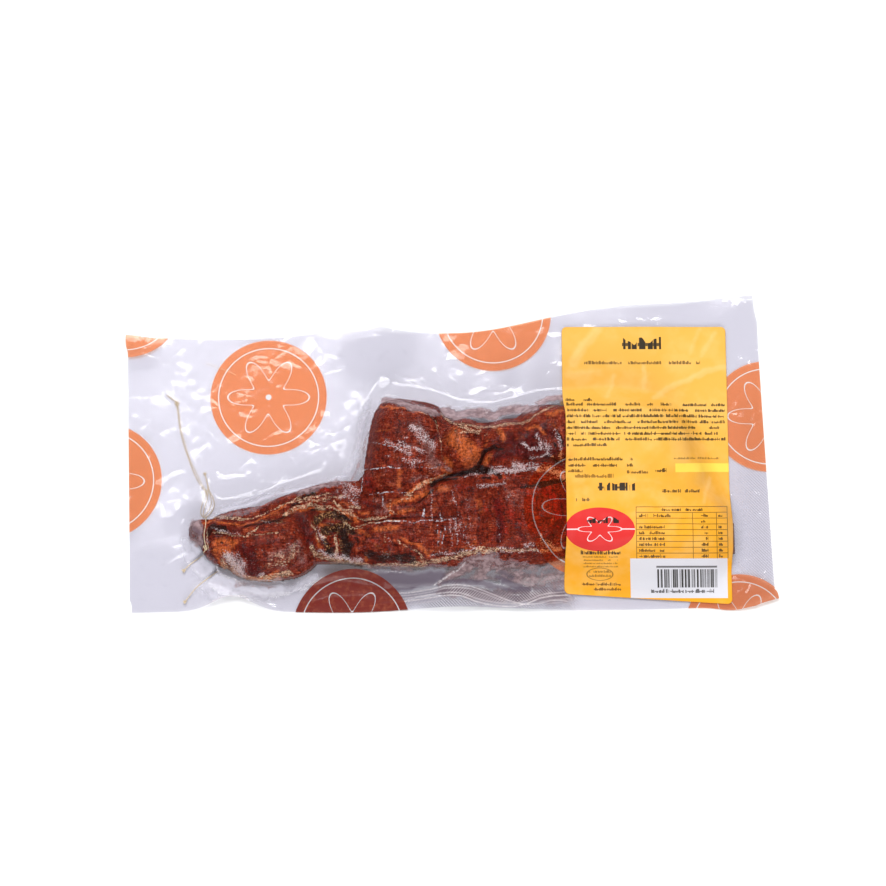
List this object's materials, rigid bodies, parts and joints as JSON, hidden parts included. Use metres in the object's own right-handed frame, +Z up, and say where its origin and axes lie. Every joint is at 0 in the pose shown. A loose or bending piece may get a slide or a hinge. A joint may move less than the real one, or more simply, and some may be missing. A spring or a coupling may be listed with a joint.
{
  "type": "vacuum-packed barbecued pork",
  "caption": "Frozen strip of barbecued pork vacuum-packed in a clear printed pouch, lying flat, with a yellow paper label stuck across one end.",
  "frame": {"origin": "on the surface that the pack lies on, under the middle of the pouch", "axes": "+X along the pouch towards the label, +Y across it, away from the front edge, +Z up"},
  "size_m": [0.3346, 0.1652, 0.0308],
  "materials": {
    "film": "clear glossy pouch film with translucent orange print",
    "label_paper": "yellow printed label paper, slightly creased",
    "meat": "dark red-brown roast meat with charred edges, fat and frost",
    "string": "pale beige hanging string"
  },
  "bodies": {
    "root": {"bag": "film", "label": "label_paper"}
  },
  "joints": []
}
